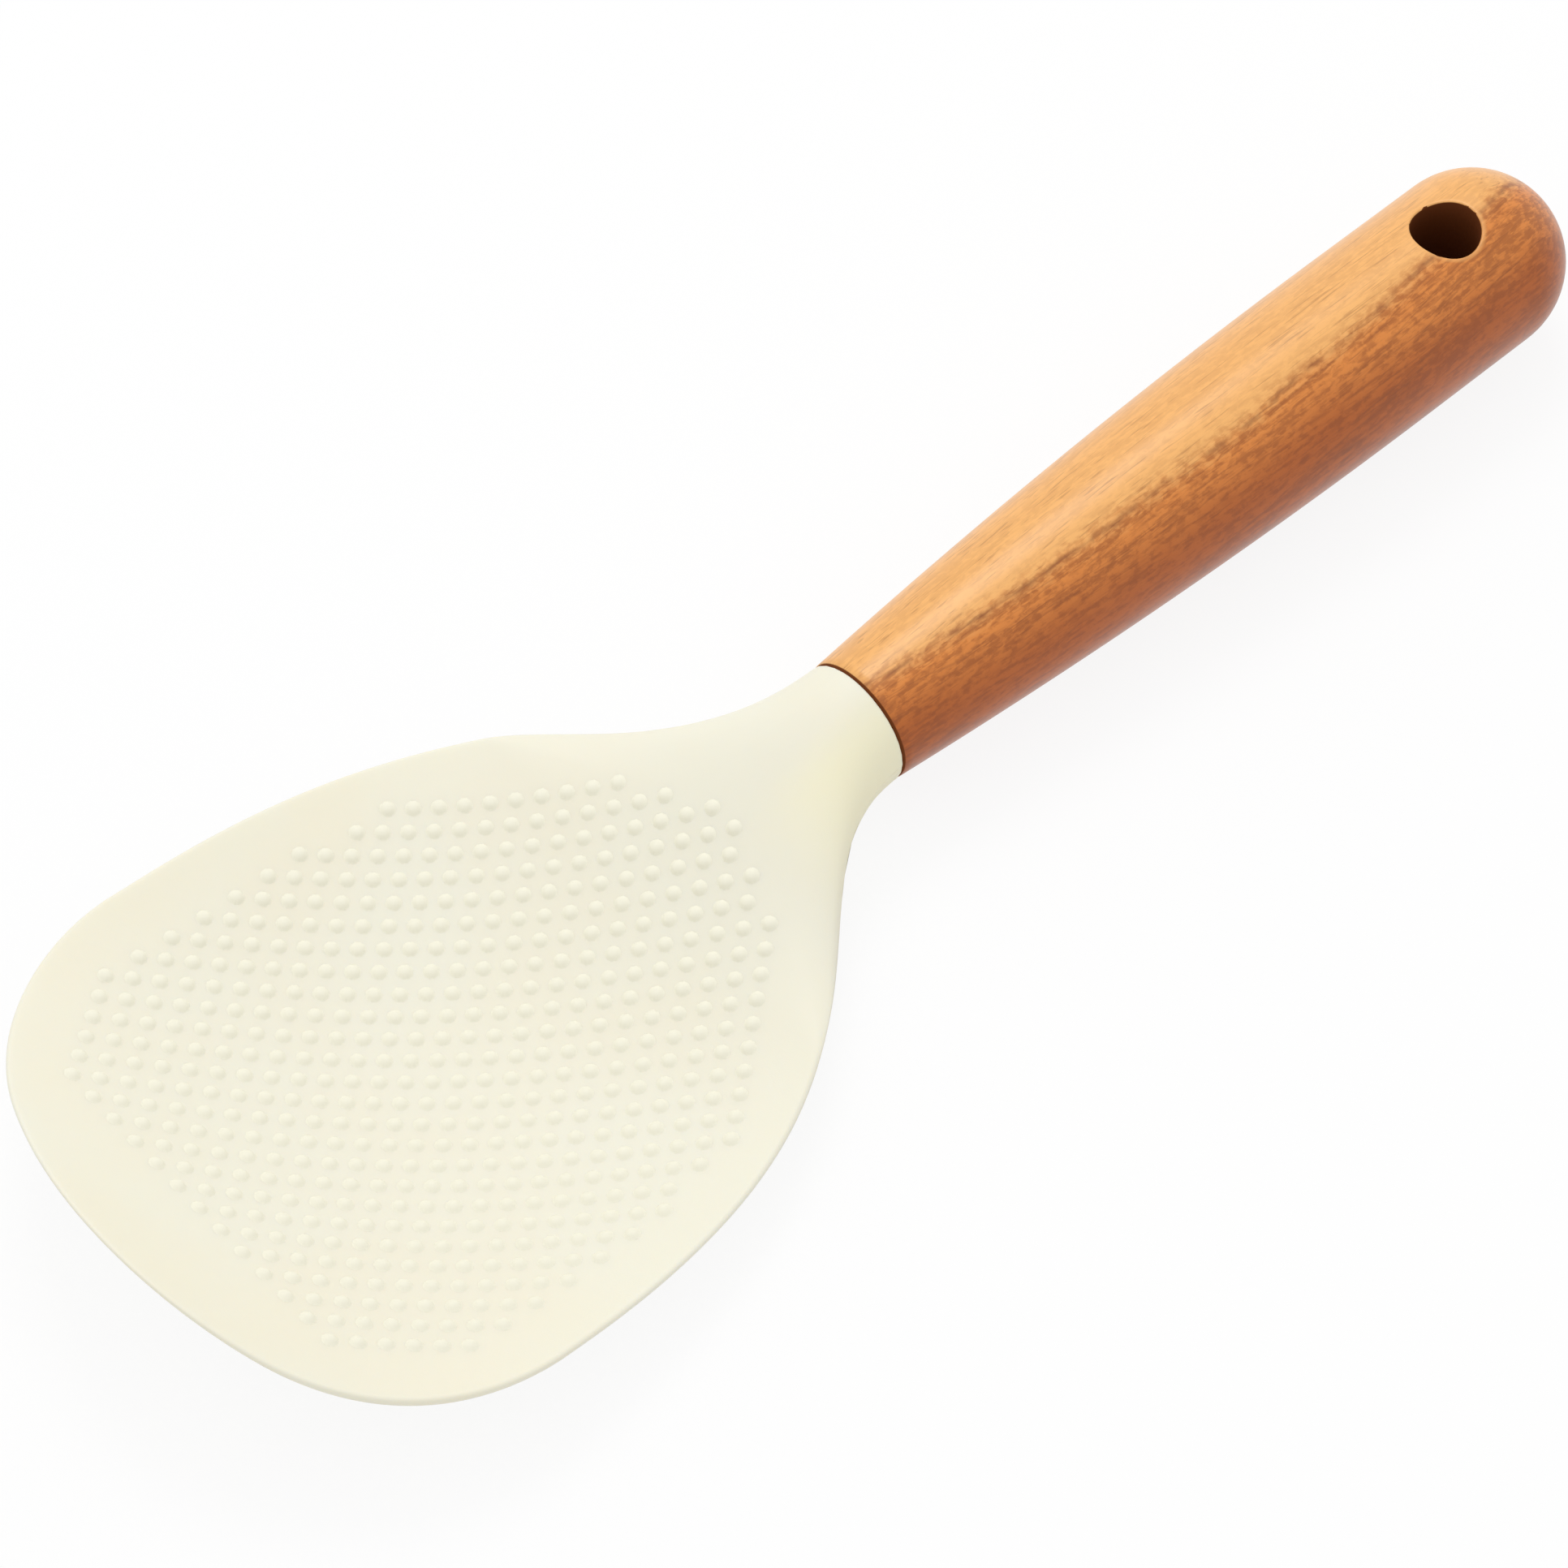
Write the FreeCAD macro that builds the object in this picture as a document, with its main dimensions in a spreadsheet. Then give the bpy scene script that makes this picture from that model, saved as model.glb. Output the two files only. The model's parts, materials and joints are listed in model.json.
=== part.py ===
"""Rice paddle: a studded silicone blade moulded over a stiff core, whose tang is glued into a wooden handle.

Millimetres. +X runs from the blade's tip to the handle's end, and +Z is up. The paddle lies on Z = 0, and the
origin is on that plane, below the middle of the length.
"""
import FreeCAD, Part
import math
import os
import Sketcher
from FreeCAD import Placement, Rotation, Vector

doc = FreeCAD.newDocument("rice_paddle")

# Driving dimensions
SIZES = {
    # blade, seen from above
    "blade_length": 118.7,
    "blade_width": 85.0,
    "tip_radius": 60.0,
    "corner_radius": 32.0,
    "side_straight": 4.0,
    "side_sweep": 59.2,
    "neck_sweep": 24.4,
    # blade, seen from the side
    "blade_thickness": 3.25,
    "rim_thickness": 1.4,
    "bowl_to_seam": 63.5,
    "bowl_radius": 84.6,
    "crest_length": 27.8,
    "bowl_depth": 7.25,
    "bowl_flat_span": 42.5,
    "bowl_lead": 5.75,
    # neck and collar
    "neck_start": 34.8,
    "neck_blend": 15.2,
    "collar_diameter": 17.2,
    # studs
    "stud_row_pitch": 2.5,
    "stud_pitch": 4.0,
    "stud_diameter": 2.2,
    "stud_height": 0.8,
    "stud_root": 0.5,
    "stud_margin": 7.3,
    "field_shift": 4.0,
    "field_to_seam": 22.5,
    "field_to_tip": 11.2,
    "field_neck_half": 2.2,
    "field_neck_shoulder": 10.2,
    "field_tip_half": 18.2,
    "field_tip_shoulder": 22.2,
    # core
    "spine_start": 18.0,
    "spine_width": 12.0,
    "spine_tip_thickness": 1.0,
    "spine_root_thickness": 5.0,
    "spine_root_to_seam": 5.0,
    "tang_width": 9.4,
    "tang_length": 42.0,
    "tang_root": 11.0,
    # glue
    "glue_gap": 0.3,
    "glue_end_gap": 1.5,
    # handle
    "handle_length": 123.8,
    "handle_diameter": 25.3,
    "swell_length": 92.5,
    "hang_hole_diameter": 9.4,
    "hang_hole_to_end": 19.3,
}

# How finely the curved faces are drawn
STRIP_ROWS = 4
NECK_SECTIONS = 10
STUD_SIDES = 4
SWELL_CUTS = 3
TANG_SIDES = 6

# Values closer than this count as equal
CLOSE = 1e-6

# The ends of the field of studs widen this many times as fast as the rows' own slant
END_STEEPNESS = 3

# The strips reach this far past the blade's outline, which then trims them
BEYOND = 1.0

# The collar's circle is drawn as two long arcs, and two short ones of this half angle at its sides
SIDE_ARC = math.radians(8)

sheet = doc.addObject("Spreadsheet::Sheet", "Sizes")
for row, (alias, value) in enumerate(SIZES.items(), start=1):
    sheet.set(f"A{row}", alias)
    sheet.set(f"B{row}", str(value))
    sheet.setAlias(f"B{row}", alias)
doc.recompute()


def size(alias):
    """One driving dimension, as a plain number."""
    return float(getattr(sheet, alias))


# Places along the paddle
SEAM_X = (size("blade_length") - size("handle_length")) / 2
TIP_X = SEAM_X - size("blade_length")
BOWL_X = SEAM_X - size("bowl_to_seam")
NECK_X = SEAM_X - size("neck_start")
AXIS_Z = size("handle_diameter") / 2
COLLAR_R = size("collar_diameter") / 2
HALF_WIDTH = size("blade_width") / 2

# Centres of the tip arc and of the corner arc on the +Y side, and where the full width ends
TIP_CENTRE = Vector(TIP_X + size("tip_radius"), 0)
CORNER_Y = HALF_WIDTH - size("corner_radius")
CORNER_X = TIP_CENTRE.x - math.sqrt((size("tip_radius") - size("corner_radius")) ** 2 - CORNER_Y ** 2)
WIDEST_X = CORNER_X + size("side_straight")


def mix(first, second, share):
    """Between two values: the first at share 0, the second at share 1."""
    return first * (1 - share) + second * share


def smooth_step(v):
    """0 to 1 with level ends."""
    v = min(max(v, 0.0), 1.0)
    return v * v * (3 - 2 * v)


def side_curve():
    """The outline's +Y side from its full width to the seam, level at both ends."""
    curve = Part.BezierCurve()
    curve.setPoles([
        Vector(WIDEST_X, HALF_WIDTH),
        Vector(WIDEST_X + size("side_sweep"), HALF_WIDTH),
        Vector(SEAM_X - size("neck_sweep"), COLLAR_R),
        Vector(SEAM_X, COLLAR_R),
    ])
    return curve


SIDE_CURVE = side_curve()


def half_width(x):
    """Half the blade's width between its two straight or curving sides; the tip is rounded off later."""
    if x <= WIDEST_X:
        return HALF_WIDTH
    low, high = 0.0, 1.0
    while high - low > CLOSE ** 2:
        middle = (low + high) / 2
        if SIDE_CURVE.value(middle).x < x:
            low = middle
        else:
            high = middle
    return SIDE_CURVE.value(low).y


def top_line(x):
    """Height of the top face on the middle line: the bowl's arc, then a crest that is level at the seam."""
    radius, crest = size("bowl_radius"), size("crest_length")

    def arc(place):
        return size("blade_thickness") + radius - math.sqrt(radius ** 2 - place ** 2)

    bowl_end = size("bowl_to_seam") - crest
    if x <= BOWL_X + bowl_end:
        return arc(x - BOWL_X)
    along = (x - BOWL_X - bowl_end) / crest
    slope = bowl_end / math.sqrt(radius ** 2 - bowl_end ** 2)
    climb = slope * crest * along * (1 - along) ** 2
    return mix(arc(bowl_end), AXIS_Z + COLLAR_R, smooth_step(along)) + climb


def bottom_line(x):
    """Height of the underside on the middle line; between the bowl and the tip the blade thins to its rim."""
    if x >= BOWL_X:
        return (AXIS_Z - COLLAR_R) * smooth_step((x - BOWL_X) / size("bowl_to_seam"))
    reach = (BOWL_X - x) / (BOWL_X - TIP_X)
    return top_line(x) - mix(size("blade_thickness"), size("rim_thickness"), reach ** 2)


def rim_rise(x):
    """How far the rim's top stands above the middle line: most in the bowl, less at the tip and the neck."""
    away = (x - BOWL_X + size("bowl_lead")) / size("bowl_flat_span")
    return size("bowl_depth") * (1 - away ** 2) * (half_width(x) / HALF_WIDTH) ** 2


class Section:
    """Cross-section of the blade or neck at x: a thin dished strip that becomes the collar's circle."""

    def __init__(self, x):
        self.x = x
        self.roundness = smooth_step((x - NECK_X) / size("neck_blend"))
        self.half = half_width(x)
        self.top, self.bottom = top_line(x), bottom_line(x)
        middle = (self.top + self.bottom) / 2
        rim = self.top + rim_rise(x) - size("rim_thickness") / 2
        side = mix(rim, middle, self.roundness)
        side_half = mix(size("rim_thickness") / 2, (self.top - middle) * math.sin(SIDE_ARC), self.roundness)
        self.side_top, self.side_bottom = side + side_half, side - side_half

    def top_at(self, y):
        """Height of the top face at y."""
        return self.top + (self.side_top - self.top) * (y / self.half) ** 2

    def wire(self, beyond=0.0):
        """The closed outline at x, drawn as four conic arcs; beyond widens it past the rim."""
        half = self.half + beyond
        stretch = (half / self.half) ** 2
        side_top = self.top + (self.side_top - self.top) * stretch
        side_bottom = self.bottom + (self.side_bottom - self.bottom) * stretch
        side_middle = (side_top + side_bottom) / 2
        end = half * mix(1, math.cos(SIDE_ARC), self.roundness)
        bulge = half * mix(1, 1 / math.cos(SIDE_ARC), self.roundness)
        long_weight = mix(1, math.sin(SIDE_ARC), self.roundness)
        short_weight = mix(1, math.cos(SIDE_ARC), self.roundness)
        corners = [(-end, side_top), (end, side_top), (end, side_bottom), (-end, side_bottom)]
        peaks = [
            (0, (self.top * (1 + long_weight) - side_top) / long_weight, long_weight),
            (bulge, side_middle, short_weight),
            (0, (self.bottom * (1 + long_weight) - side_bottom) / long_weight, long_weight),
            (-bulge, side_middle, short_weight),
        ]
        edges = []
        for number, (y, z, weight) in enumerate(peaks):
            first, last = corners[number], corners[(number + 1) % len(corners)]
            arc = Part.BezierCurve()
            arc.setPoles([Vector(self.x, *first), Vector(self.x, y, z), Vector(self.x, *last)])
            arc.setWeight(2, weight)
            edges.append(arc.toShape())
        return Part.Wire(edges)


def row_place(number):
    """Where along X a row of studs lies, counted from the neck."""
    return SEAM_X - size("field_to_seam") - number * size("stud_row_pitch")


def blade_strips():
    """The dished blade as ruled strips, with their edges midway between rows of studs."""
    first = row_place(0) + size("stud_row_pitch") / 2
    width = STRIP_ROWS * size("stud_row_pitch")
    count = math.ceil((first - TIP_X) / width)
    inner = [first - width * number for number in range(count, 0, -1)]
    places = [TIP_X - BEYOND] + [x for x in inner if TIP_X < x < NECK_X - BEYOND] + [NECK_X]
    return Part.makeLoft([Section(x).wire(BEYOND) for x in places], True, True)


def neck():
    """The neck from the blade to the round collar at the seam, also as ruled strips."""
    step = size("neck_start") / (NECK_SECTIONS - 1)
    places = [NECK_X + step * number for number in range(NECK_SECTIONS)]
    return Part.makeLoft([Section(x).wire() for x in places], True, True)


def outline_prism():
    """The blade's outline from above, made tall: tip arc, corner arcs, straights and side curves."""
    corner = Vector(CORNER_X, CORNER_Y)
    outward = (corner - TIP_CENTRE).normalize()
    join = TIP_CENTRE + outward * size("tip_radius")
    corner_mid = corner + (outward + Vector(0, 1)).normalize() * size("corner_radius")
    side = [
        SIDE_CURVE.toShape(),
        Part.LineSegment(Vector(WIDEST_X, HALF_WIDTH), Vector(CORNER_X, HALF_WIDTH)).toShape(),
        Part.Arc(Vector(CORNER_X, HALF_WIDTH), corner_mid, join).toShape(),
    ]
    other_side = [edge.mirror(Vector(), Vector(0, 1, 0)) for edge in side]
    ends = [
        Part.Arc(join, Vector(TIP_X, 0), Vector(join.x, -join.y)).toShape(),
        Part.LineSegment(Vector(SEAM_X, COLLAR_R), Vector(SEAM_X, -COLLAR_R)).toShape(),
    ]
    face = Part.Face(Part.Wire(Part.__sortEdges__(side + other_side + ends)))
    height = size("blade_length")
    face.translate(Vector(0, 0, -height / 2))
    return face.extrude(Vector(0, 0, height))


def field_half(x):
    """Half the width of the field of studs at x: the outline, moved towards the handle, with stepped ends."""
    slant = size("stud_pitch") / 2 / size("stud_row_pitch")
    to_neck = SEAM_X - size("field_to_seam") - x
    to_tip = x - TIP_X - size("field_to_tip")
    return min(
        half_width(x - size("field_shift")) - size("stud_margin"),
        size("field_neck_half") + END_STEEPNESS * slant * to_neck,
        size("field_neck_shoulder") + slant * to_neck,
        size("field_tip_half") + END_STEEPNESS * slant * to_tip,
        size("field_tip_shoulder") + slant * to_tip,
    )


def stud_form():
    """One stud as a pyramid on the XY plane, with a root below it."""
    spread = size("stud_diameter") / 2 / size("stud_height")
    height = size("stud_height") + size("stud_root")
    base = Part.makePolygon([
        Rotation(Vector(0, 0, 1), 360 / STUD_SIDES * number) * Vector(spread * height, 0, -size("stud_root"))
        for number in range(STUD_SIDES + 1)
    ])
    peak = Vector(0, 0, size("stud_height"))
    sides = []
    for edge in base.Edges:
        first, second = (vertex.Point for vertex in edge.Vertexes)
        sides.append(Part.Face(Part.makePolygon([first, second, peak, first])))
    return Part.Solid(Part.Shell(sides + [Part.Face(base)]))


def stud_field():
    """All studs: rows across the blade, every second one shifted by half a pitch."""
    form = stud_form()
    pitch = size("stud_pitch")
    length = size("blade_length") - size("field_to_seam") - size("field_to_tip")
    rows = math.floor(length / size("stud_row_pitch") + CLOSE) + 1
    studs = []
    for number in range(rows):
        x = row_place(number)
        section = Section(x)
        shift = 0.0 if number % 2 else pitch / 2
        half = field_half(x)
        count = math.floor((half - shift) / pitch + CLOSE) + 1
        side = [shift + pitch * step for step in range(count)]
        for y in side + [-y for y in side if y > 0]:
            stud = form.copy()
            stud.translate(Vector(x, y, section.top_at(y)))
            studs.append(stud)
    return Part.makeCompound(studs)


# Expressions shared by the pieces that meet at the seam
SEAM = "(Sizes.blade_length - Sizes.handle_length) / 2"
AXIS = "Sizes.handle_diameter / 2"
COLLAR_RADIUS = "Sizes.collar_diameter / 2"
SOCKET_RADIUS = "Sizes.tang_width / 2 + Sizes.glue_gap"
SOCKET_DEPTH = "Sizes.tang_length + Sizes.glue_end_gap"


def body_at_seam(label):
    """A body whose own origin is on the handle's axis, at the seam."""
    body = doc.addObject("PartDesign::Body", label)
    body.setExpression("Placement.Base.x", SEAM)
    body.setExpression("Placement.Base.z", AXIS)
    return body


def origin_feature(body, role):
    """One plane or axis of a body's origin."""
    return next(feature for feature in body.Origin.OriginFeatures if feature.Role == role)


def sketch_on(body, name, plane):
    """A new sketch on one of the body's origin planes."""
    sketch = body.newObject("Sketcher::SketchObject", name)
    sketch.AttachmentSupport = [(origin_feature(body, plane), "")]
    sketch.MapMode = "FlatFace"
    return sketch


def constrain(sketch, *rules):
    """Adds constraints without a value."""
    for rule in rules:
        sketch.addConstraint(Sketcher.Constraint(*rule))


def dimension(sketch, expression, kind, *places):
    """Adds a constraint whose value is bound to the sheet."""
    value = float(sketch.evalExpression(expression))
    number = sketch.addConstraint(Sketcher.Constraint(kind, *places, value))
    sketch.setExpression(f"Constraints[{number}]", expression)


def feature(body, kind, name, profile, **bound):
    """A PartDesign feature on a sketch, with its lengths bound to the sheet."""
    made = body.newObject("PartDesign::" + kind, name)
    made.Profile = profile
    for quantity, expression in bound.items():
        made.setExpression(quantity, expression)
    return made


def closed_outline(sketch, corners):
    """Draws straight edges through the corners, joined end to end."""
    for number, corner in enumerate(corners):
        sketch.addGeometry(Part.LineSegment(corner, corners[(number + 1) % len(corners)]))
    for number in range(len(corners)):
        constrain(sketch, ("Coincident", number, 2, (number + 1) % len(corners), 1))


def handle():
    """Turned wooden handle: a long swell, a round end, a blind socket for the tang and a hanging hole."""
    body = body_at_seam("handle")
    profile = sketch_on(body, "handle_profile", "XZ_Plane")
    length, radius = size("handle_length"), size("handle_diameter") / 2
    dome_start = length - radius
    dome_mid = Vector(dome_start + radius * math.sqrt(0.5), radius * math.sqrt(0.5))
    swell = []
    for cut in range(SWELL_CUTS + 1):
        along = f"Sizes.swell_length * {cut / SWELL_CUTS}"
        height = f"{AXIS} - ({AXIS} - {COLLAR_RADIUS}) * {(1 - cut / SWELL_CUTS) ** 2}"
        swell.append((along, height))
    corners = [Vector(*(float(body.evalExpression(text)) for text in place)) for place in swell]
    outline = [Vector()] + corners + [Vector(dome_start, radius)]
    for first, second in zip(outline, outline[1:]):
        profile.addGeometry(Part.LineSegment(first, second))
    profile.addGeometry(Part.Arc(outline[-1], dome_mid, Vector(length, 0)))
    profile.addGeometry(Part.LineSegment(Vector(length, 0), Vector()))
    top = SWELL_CUTS + 1
    dome, axis = top + 1, top + 2
    for line in range(top):
        constrain(profile, ("Coincident", line, 2, line + 1, 1))
    constrain(
        profile,
        ("Coincident", 0, 1, -1, 1),
        ("Vertical", 0),
        ("Tangent", top, 2, dome, 2),
        ("Horizontal", top),
        ("Coincident", dome, 1, axis, 1),
        ("Coincident", axis, 2, 0, 1),
        ("PointOnObject", dome, 3, -1),
        ("PointOnObject", dome, 1, -1),
    )
    dimension(profile, COLLAR_RADIUS, "DistanceY", -1, 1, 0, 2)
    for line, (along, height) in enumerate(swell[1:], start=1):
        dimension(profile, along, "DistanceX", -1, 1, line, 2)
        dimension(profile, height, "DistanceY", -1, 1, line, 2)
    dimension(profile, "Sizes.handle_length", "DistanceX", -1, 1, dome, 1)
    turned = feature(body, "Revolution", "turned_form", profile)
    turned.ReferenceAxis = (origin_feature(body, "X_Axis"), [""])
    doc.recompute()

    socket_sketch = sketch_on(body, "socket_circle", "YZ_Plane")
    socket_radius = float(body.evalExpression(SOCKET_RADIUS))
    socket_sketch.addGeometry(Part.Circle(Vector(), Vector(0, 0, 1), socket_radius))
    constrain(socket_sketch, ("Coincident", 0, 3, -1, 1))
    dimension(socket_sketch, SOCKET_RADIUS, "Radius", 0)
    socket = feature(body, "Pocket", "socket", socket_sketch, Length=SOCKET_DEPTH)
    socket.Reversed = True
    doc.recompute()

    hole_sketch = sketch_on(body, "hang_hole_circle", "XY_Plane")
    hole_centre = Vector(length - size("hang_hole_to_end"), 0)
    hole_sketch.addGeometry(Part.Circle(hole_centre, Vector(0, 0, 1), size("hang_hole_diameter") / 2))
    constrain(hole_sketch, ("PointOnObject", 0, 3, -1))
    dimension(hole_sketch, "Sizes.hang_hole_diameter / 2", "Radius", 0)
    dimension(hole_sketch, "Sizes.handle_length - Sizes.hang_hole_to_end", "DistanceX", -1, 1, 0, 3)
    hole = feature(body, "Pocket", "hang_hole", hole_sketch, Length="2 * Sizes.handle_diameter")
    hole.Midplane = True
    doc.recompute()
    return body


def core():
    """Stiff core of the neck: a flat spine that thins towards the bowl, and a six-sided tang."""
    body = body_at_seam("blade_core")
    spine_sketch = sketch_on(body, "spine_profile", "XZ_Plane")
    tip_x, root_x = size("spine_start") - size("bowl_to_seam"), -size("spine_root_to_seam")
    bowl_rise = "(Sizes.bowl_radius - sqrt(Sizes.bowl_radius^2 - Sizes.spine_start^2))"
    tip_drop = f"{AXIS} - Sizes.blade_thickness / 2 - {bowl_rise}"
    tip_z = -float(body.evalExpression(tip_drop))
    tip_half, root_half = size("spine_tip_thickness") / 2, size("spine_root_thickness") / 2
    closed_outline(spine_sketch, [
        Vector(tip_x, tip_z - tip_half), Vector(root_x, -root_half),
        Vector(root_x, root_half), Vector(tip_x, tip_z + tip_half),
    ])
    under, root, tip = 0, 1, 3
    constrain(spine_sketch, ("Vertical", tip), ("Symmetric", root, 1, root, 2, -1))
    dimension(spine_sketch, "Sizes.spine_root_to_seam", "DistanceX", root, 1, -1, 1)
    dimension(spine_sketch, "Sizes.bowl_to_seam - Sizes.spine_start", "DistanceX", under, 1, -1, 1)
    dimension(spine_sketch, "Sizes.spine_root_thickness", "DistanceY", root, 1, root, 2)
    dimension(spine_sketch, "Sizes.spine_tip_thickness", "DistanceY", tip, 2, tip, 1)
    dimension(spine_sketch, f"{tip_drop} + Sizes.spine_tip_thickness / 2", "DistanceY", under, 1, -1, 1)
    spine = feature(body, "Pad", "spine", spine_sketch, Length="Sizes.spine_width")
    spine.Midplane = True
    doc.recompute()

    tang_sketch = sketch_on(body, "tang_outline", "YZ_Plane")
    closed_outline(tang_sketch, [
        Rotation(Vector(0, 0, 1), 360 / TANG_SIDES * number) * Vector(size("tang_width") / 2, 0)
        for number in range(TANG_SIDES)
    ])
    circle = TANG_SIDES
    tang_sketch.addGeometry(Part.Circle(Vector(), Vector(0, 0, 1), size("tang_width") / 2), True)
    constrain(tang_sketch, ("Coincident", circle, 3, -1, 1), ("PointOnObject", 0, 1, -1))
    for side in range(TANG_SIDES):
        constrain(tang_sketch, ("PointOnObject", side, 1, circle))
    for side in range(1, TANG_SIDES):
        constrain(tang_sketch, ("Equal", 0, side))
    dimension(tang_sketch, "Sizes.tang_width / 2", "Radius", circle)
    tang_sketch.setExpression("AttachmentOffset.Base.z", "-Sizes.tang_root")
    feature(body, "Pad", "tang", tang_sketch, Length="Sizes.tang_root + Sizes.tang_length")
    doc.recompute()
    return body


def adhesive(core_body):
    """Glue that fills the socket round the tang and beyond its end."""
    filling = doc.addObject("Part::Cylinder", "socket_filling")
    filling.Placement = Placement(Vector(), Rotation(Vector(0, 1, 0), 90))
    filling.setExpression("Radius", SOCKET_RADIUS)
    filling.setExpression("Height", SOCKET_DEPTH)
    filling.setExpression("Placement.Base.x", SEAM)
    filling.setExpression("Placement.Base.z", AXIS)
    glue = doc.addObject("Part::Cut", "socket_adhesive")
    glue.Base, glue.Tool = filling, core_body
    return glue


def blade(core_body):
    """Silicone blade: the trimmed strips and the neck, hollowed for the core, with studs on its top face."""
    blank = doc.addObject("Part::Feature", "blade_blank")
    blank.Shape = blade_strips().common(outline_prism()).fuse(neck())
    hollow = doc.addObject("Part::Cut", "hollow_blade")
    hollow.Base, hollow.Tool = blank, core_body
    studs = doc.addObject("Part::Feature", "studs")
    studs.Shape = stud_field()
    studded = doc.addObject("Part::Fuse", "silicone_blade")
    studded.Base, studded.Tool = hollow, studs
    return studded


blade_core = core()
SUBPARTS = [blade(blade_core), blade_core, adhesive(blade_core), handle()]
doc.recompute()

for thing in doc.Objects:
    if "Invalid" in thing.State or "Error" in thing.State:
        raise RuntimeError(f"{thing.Label} failed: {thing.State}")
for subpart in SUBPARTS:
    if subpart.Shape.isNull() or not subpart.Shape.isValid():
        raise RuntimeError(f"{subpart.Label} has no valid shape")
    if len(subpart.Shape.Solids) != 1:
        raise RuntimeError(f"{subpart.Label} is not one solid")

os.makedirs("parts", exist_ok=True)
for subpart in SUBPARTS:
    subpart.Shape.exportStep(f"parts/{subpart.Label}.step")
    print(subpart.Label, round(subpart.Shape.Volume, 1), "mm3")
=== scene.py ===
"""Dresses the rice paddle: a silicone blade with studs, a wooden handle and a plain studio."""
import json
import math

import bmesh
import bpy
import numpy as np
from bpy.props import FloatProperty, FloatVectorProperty, IntProperty, PointerProperty
from mathutils import Matrix, Vector


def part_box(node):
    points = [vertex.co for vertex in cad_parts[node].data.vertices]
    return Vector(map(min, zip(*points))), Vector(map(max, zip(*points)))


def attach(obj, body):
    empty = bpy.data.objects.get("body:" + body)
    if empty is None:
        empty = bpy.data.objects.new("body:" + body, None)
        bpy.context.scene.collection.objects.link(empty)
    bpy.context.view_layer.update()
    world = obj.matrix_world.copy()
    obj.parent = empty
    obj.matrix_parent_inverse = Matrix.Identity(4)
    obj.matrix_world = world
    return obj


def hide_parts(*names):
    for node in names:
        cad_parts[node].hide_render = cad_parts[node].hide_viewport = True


bl_info = {
    "name": "Rice Paddle",
    "version": (1, 0, 0),
    "blender": (4, 5, 0),
    "location": "3D View > Sidebar > Paddle",
    "description": "Models a silicone rice paddle with a wooden handle over its packed frame",
    "category": "Object",
}

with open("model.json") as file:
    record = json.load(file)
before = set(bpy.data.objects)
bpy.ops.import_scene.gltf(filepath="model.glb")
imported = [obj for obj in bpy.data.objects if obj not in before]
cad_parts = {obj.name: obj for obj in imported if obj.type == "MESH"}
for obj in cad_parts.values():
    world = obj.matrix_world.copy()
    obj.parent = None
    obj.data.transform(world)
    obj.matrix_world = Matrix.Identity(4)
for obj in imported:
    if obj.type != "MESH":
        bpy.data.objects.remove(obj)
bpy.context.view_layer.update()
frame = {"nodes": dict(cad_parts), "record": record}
MM = 0.001
BODY = "root"

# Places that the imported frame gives
BLADE_LOW, BLADE_HIGH = (Vector(corner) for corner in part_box("silicone_blade"))
HANDLE_LOW, HANDLE_HIGH = (Vector(corner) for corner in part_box("handle"))
TIP_X, SEAM_X, END_X = BLADE_LOW.x, HANDLE_LOW.x, HANDLE_HIGH.x
AXIS_Z = (HANDLE_LOW.z + HANDLE_HIGH.z) / 2
HANDLE_R = (HANDLE_HIGH.z - HANDLE_LOW.z) / 2
HALF_WIDTH = (BLADE_HIGH.y - BLADE_LOW.y) / 2
HANG_HOLE = next(mount for mount in frame["record"]["mounts"] if mount["name"] == "hang_hole")


# Settings

def length(name, description, default):
    """A size in metres that a user may change."""
    return FloatProperty(
        name=name, description=description, default=default,
        min=0.0, precision=5, unit="LENGTH",
    )


def colour(name, description, default):
    """A colour that a user may change, in linear light."""
    return FloatVectorProperty(
        name=name, description=description, default=default,
        size=3, min=0.0, max=1.0, subtype="COLOR",
    )


class BladeSizes(bpy.types.PropertyGroup):
    """Sizes of the silicone blade."""

    tip_radius: length("Tip radius", "Radius of the front edge, seen from above", 60.0 * MM)
    corner_radius: length("Corner radius", "Radius of the two front corners", 32.0 * MM)
    side_straight: length("Side straight", "Straight stretch at the full width", 4.0 * MM)
    side_sweep: length("Side sweep", "How far the sides run on before they draw in", 59.2 * MM)
    neck_sweep: length("Neck sweep", "How far the neck keeps the collar's direction", 24.4 * MM)
    thickness: length("Thickness", "Thickness at the bowl's lowest point", 3.25 * MM)
    rim_thickness: length("Rim thickness", "Thickness of the rounded rim", 1.4 * MM)
    bowl_to_seam: length("Bowl to seam", "From the bowl's lowest point to the handle", 63.5 * MM)
    bowl_radius: length("Bowl radius", "Radius of the bowl along the paddle", 84.6 * MM)
    crest_length: length("Crest length", "Where the bowl's arc levels out at the collar", 27.8 * MM)
    bowl_depth: length("Bowl depth", "How far the rim stands above the middle line", 7.25 * MM)
    bowl_flat_span: length("Bowl flat span", "From the deepest section to the flat one", 42.5 * MM)
    bowl_lead: length("Bowl lead", "From the deepest section to the lowest point", 5.75 * MM)
    neck_start: length("Neck start", "From the seam to where the blade rounds off", 34.8 * MM)
    neck_blend: length("Neck blend", "Length from the flat blade to the round neck", 15.2 * MM)
    collar_radius: length("Collar radius", "Radius of the round end at the handle", 8.6 * MM)
    collar_lip: length("Collar lip", "Rounding of the collar's edge at the seam", 0.4 * MM)


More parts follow.
